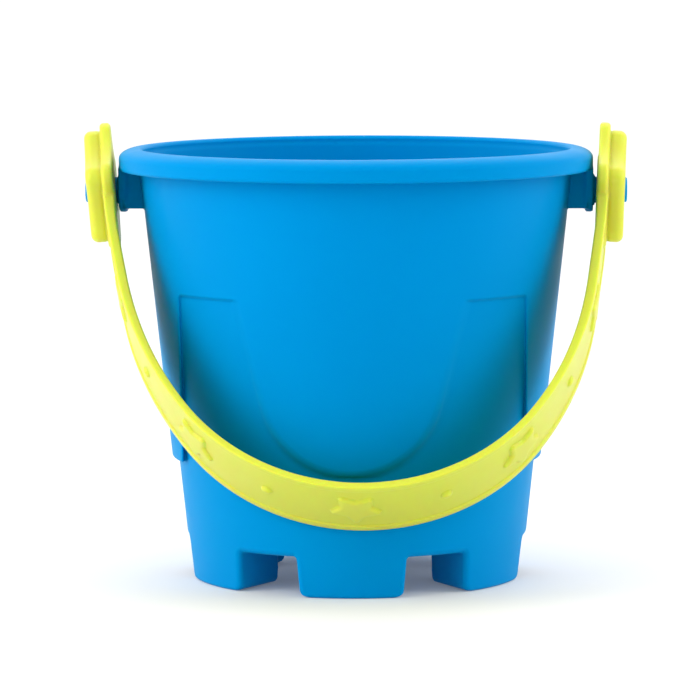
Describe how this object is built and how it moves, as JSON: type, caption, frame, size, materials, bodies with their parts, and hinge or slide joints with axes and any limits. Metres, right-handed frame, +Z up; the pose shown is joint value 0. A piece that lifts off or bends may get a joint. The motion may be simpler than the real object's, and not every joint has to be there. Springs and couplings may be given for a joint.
{
  "type": "sand bucket",
  "caption": "Child's round sand bucket with castle-shaped feet, recessed side panels, a rolled rim and a swinging strap handle with star-shaped ends.",
  "frame": {"origin": "at the floor, in the middle of the object's box from the strap's front to the rim's back; the bucket's axis is 2.1 mm behind it", "axes": "+Z up; +X along the handle's pins; -Y is the front, where the handle hangs"},
  "size_m": [0.1847, 0.165, 0.1543],
  "materials": {
    "blue_plastic": "satin moulded polypropylene",
    "lime_plastic": "satin, slightly translucent moulded polypropylene"
  },
  "bodies": {
    "bucket": {"bucket": "blue_plastic"},
    "handle": {"handle": "lime_plastic"}
  },
  "joints": [
    {"name": "handle_swing", "type": "hinge", "parent": "bucket", "child": "handle", "pos_m": [0, 0.0021, 0.1315], "axis": [-1, 0, 0], "range_deg": [0, 287]}
  ]
}
